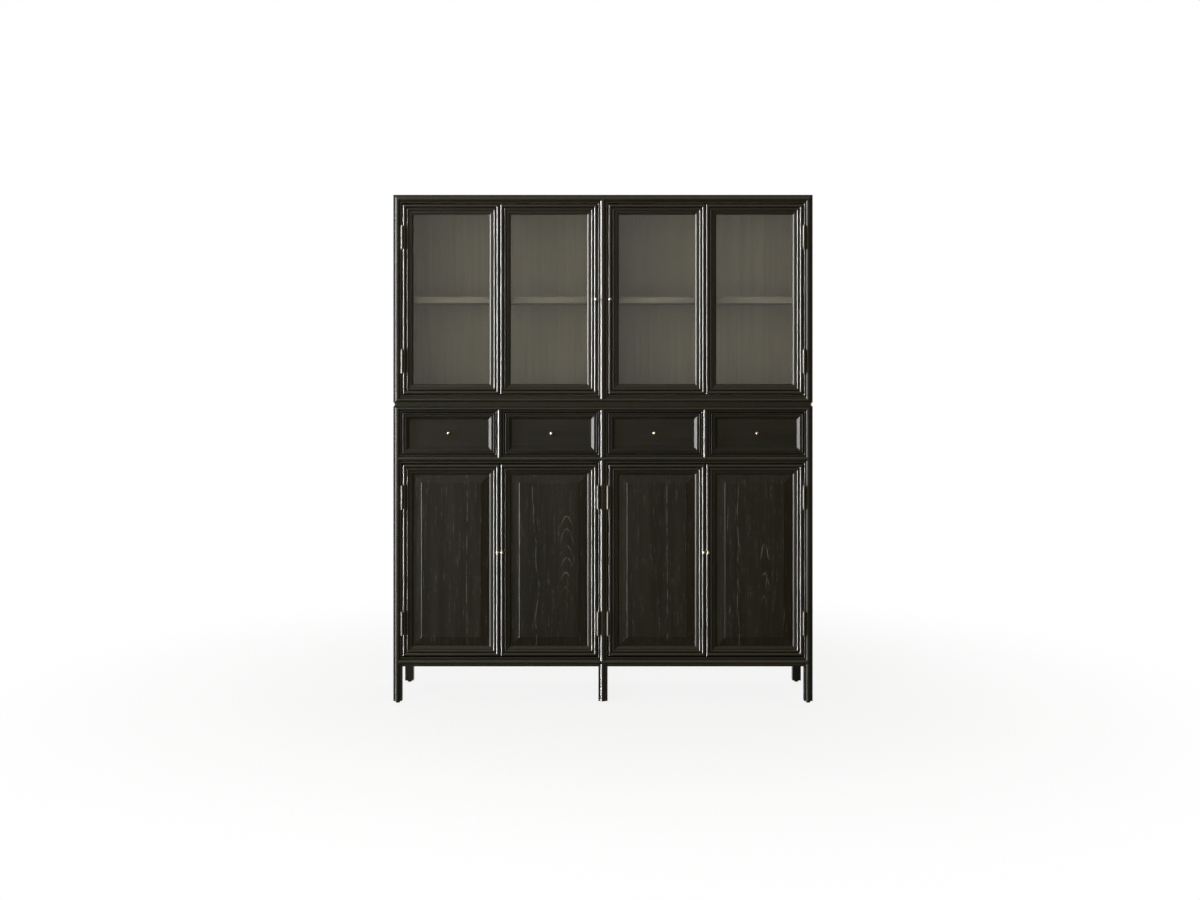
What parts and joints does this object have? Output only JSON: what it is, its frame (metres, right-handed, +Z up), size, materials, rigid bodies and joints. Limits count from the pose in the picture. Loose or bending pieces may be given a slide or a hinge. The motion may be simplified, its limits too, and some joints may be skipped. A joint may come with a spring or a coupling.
{
  "type": "china cabinet",
  "caption": "Tall dark-stained china cabinet: glazed hutch with a shelf on a base of drawers over raised-panel doors, half-round framing, small brass knobs and butt hinges.",
  "frame": {"origin": "on the floor under the middle of the cabinet's box, knobs included", "axes": "+Z up, front with doors and drawers towards -Y, +X to the right seen from the front"},
  "size_m": [1.82, 0.4642, 2.205],
  "materials": {
    "stained_wood": "dark espresso stain, satin lacquer, open grain",
    "inside_wood": "stained, matt",
    "brass_knob": "polished, slightly aged",
    "hinge_brass": "satin, pale antique",
    "door_glass": "clear float glass",
    "glide_plastic": "matt"
  },
  "bodies": {
    "carcass": {"back_panels": "stained_wood", "base_floor": "inside_wood", "base_front_posts": "stained_wood", "base_front_rails": "stained_wood", "base_rear_posts": "stained_wood", "base_shelves": "inside_wood", "base_top": "inside_wood", "drawer_deck": "inside_wood", "drawer_dividers": "stained_wood", "drawer_guides": "inside_wood", "foot_glides": "glide_plastic", "hinge_fixed_leaves": "hinge_brass", "hinge_pins": "hinge_brass", "hutch_floor": "inside_wood", "hutch_front_posts": "stained_wood", "hutch_front_rails": "stained_wood", "hutch_rear_posts": "stained_wood", "hutch_shelves": "inside_wood", "hutch_top": "stained_wood", "joining_strip": "stained_wood", "opening_beads": "stained_wood", "partitions": "inside_wood", "side_and_back_rails": "stained_wood", "side_panels": "stained_wood"},
    "upper_left_door": {"upper_left_door_frame": "stained_wood", "upper_left_door_glass": "door_glass", "upper_left_door_hinge_leaves": "hinge_brass", "upper_left_door_knob": "brass_knob"},
    "upper_right_door": {"upper_right_door_frame": "stained_wood", "upper_right_door_glass": "door_glass", "upper_right_door_hinge_leaves": "hinge_brass", "upper_right_door_knob": "brass_knob"},
    "lower_door_1": {"lower_door_1_frame": "stained_wood", "lower_door_1_hinge_leaves": "hinge_brass", "lower_door_1_knob": "brass_knob", "lower_door_1_panel": "stained_wood"},
    "lower_door_2": {"lower_door_2_frame": "stained_wood", "lower_door_2_hinge_leaves": "hinge_brass", "lower_door_2_knob": "brass_knob", "lower_door_2_panel": "stained_wood"},
    "lower_door_3": {"lower_door_3_frame": "stained_wood", "lower_door_3_hinge_leaves": "hinge_brass", "lower_door_3_knob": "brass_knob", "lower_door_3_panel": "stained_wood"},
    "lower_door_4": {"lower_door_4_frame": "stained_wood", "lower_door_4_hinge_leaves": "hinge_brass", "lower_door_4_knob": "brass_knob", "lower_door_4_panel": "stained_wood"},
    "drawer_1": {"drawer_1_box": "inside_wood", "drawer_1_front": "stained_wood", "drawer_1_knob": "brass_knob"},
    "drawer_2": {"drawer_2_box": "inside_wood", "drawer_2_front": "stained_wood", "drawer_2_knob": "brass_knob"},
    "drawer_3": {"drawer_3_box": "inside_wood", "drawer_3_front": "stained_wood", "drawer_3_knob": "brass_knob"},
    "drawer_4": {"drawer_4_box": "inside_wood", "drawer_4_front": "stained_wood", "drawer_4_knob": "brass_knob"}
  },
  "joints": [
    {"name": "upper_left_door_hinge", "type": "hinge", "parent": "carcass", "child": "upper_left_door", "pos_m": [-0.8715, -0.21715, 1.7515], "axis": [0, 0, -1], "range_deg": [0, 110]},
    {"name": "upper_right_door_hinge", "type": "hinge", "parent": "carcass", "child": "upper_right_door", "pos_m": [0.8715, -0.21715, 1.7515], "axis": [0, 0, 1], "range_deg": [0, 110]},
    {"name": "lower_door_1_hinge", "type": "hinge", "parent": "carcass", "child": "lower_door_1", "pos_m": [-0.8715, -0.21715, 0.6185], "axis": [0, 0, -1], "range_deg": [0, 110]},
    {"name": "lower_door_2_hinge", "type": "hinge", "parent": "carcass", "child": "lower_door_2", "pos_m": [-0.0215, -0.21715, 0.6185], "axis": [0, 0, 1], "range_deg": [0, 90]},
    {"name": "lower_door_3_hinge", "type": "hinge", "parent": "carcass", "child": "lower_door_3", "pos_m": [0.0215, -0.21715, 0.6185], "axis": [0, 0, -1], "range_deg": [0, 90]},
    {"name": "lower_door_4_hinge", "type": "hinge", "parent": "carcass", "child": "lower_door_4", "pos_m": [0.8715, -0.21715, 0.6185], "axis": [0, 0, 1], "range_deg": [0, 110]},
    {"name": "drawer_1_slide", "type": "slide", "parent": "carcass", "child": "drawer_1", "axis": [0, -1, 0], "range_m": [0, 0.3]},
    {"name": "drawer_2_slide", "type": "slide", "parent": "carcass", "child": "drawer_2", "axis": [0, -1, 0], "range_m": [0, 0.3]},
    {"name": "drawer_3_slide", "type": "slide", "parent": "carcass", "child": "drawer_3", "axis": [0, -1, 0], "range_m": [0, 0.3]},
    {"name": "drawer_4_slide", "type": "slide", "parent": "carcass", "child": "drawer_4", "axis": [0, -1, 0], "range_m": [0, 0.3]}
  ]
}
